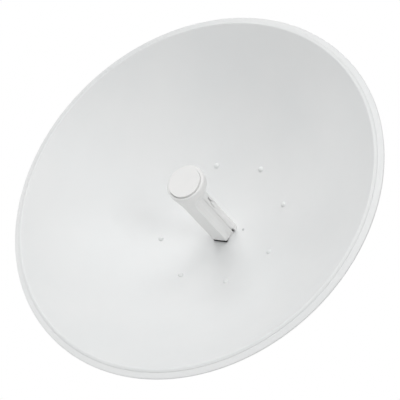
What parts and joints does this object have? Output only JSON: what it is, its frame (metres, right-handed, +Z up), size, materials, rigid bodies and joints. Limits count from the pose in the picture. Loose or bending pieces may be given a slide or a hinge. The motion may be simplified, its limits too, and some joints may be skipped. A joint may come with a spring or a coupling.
{
  "type": "parabolic dish antenna",
  "caption": "Deep parabolic radio dish with a rolled rim, a central feed body with a round cap, and a tilting mast bracket behind.",
  "frame": {"origin": "middle of the raised flat on the rear face of the mast bracket, between the two mast clamps", "axes": "+Z up along the mast, -Y along the beam, +X to the right seen from in front of the dish"},
  "size_m": [0.65, 0.3842, 0.65],
  "materials": {
    "white_paint": "satin powder coat",
    "white_plastic": "fine moulded satin",
    "zinc": "zinc plated"
  },
  "bodies": {
    "root": {"reflector": "white_paint", "hub_plate": "white_paint", "ring_bolt_1": "white_paint", "ring_bolt_2": "white_paint", "ring_bolt_3": "white_paint", "ring_bolt_4": "white_paint", "ring_bolt_5": "white_paint", "ring_bolt_6": "white_paint", "ring_bolt_7": "white_paint", "ring_bolt_8": "white_paint", "ring_nut_1": "zinc", "ring_nut_2": "zinc", "ring_nut_3": "zinc", "ring_nut_4": "zinc", "ring_nut_5": "zinc", "ring_nut_6": "zinc", "ring_nut_7": "zinc", "ring_nut_8": "zinc", "feed_keel": "white_plastic", "feed_cover": "white_plastic", "feed_latch_right": "white_plastic", "feed_latch_left": "white_plastic", "feed_neck": "white_plastic", "cap_ring": "white_plastic", "cap_disc": "white_plastic", "rear_housing": "white_plastic", "port_door": "white_plastic", "tilt_frame": "white_paint", "mast_bracket": "zinc", "pivot_bolt_right": "zinc", "pivot_bolt_left": "zinc", "lock_bolt_right": "zinc", "lock_bolt_left": "zinc", "inner_jaw_upper": "zinc", "inner_jaw_lower": "zinc", "outer_jaw_upper": "zinc", "outer_jaw_lower": "zinc", "clamp_bolt_upper_right": "zinc", "clamp_bolt_upper_left": "zinc", "clamp_bolt_lower_right": "zinc", "clamp_bolt_lower_left": "zinc"}
  },
  "joints": []
}
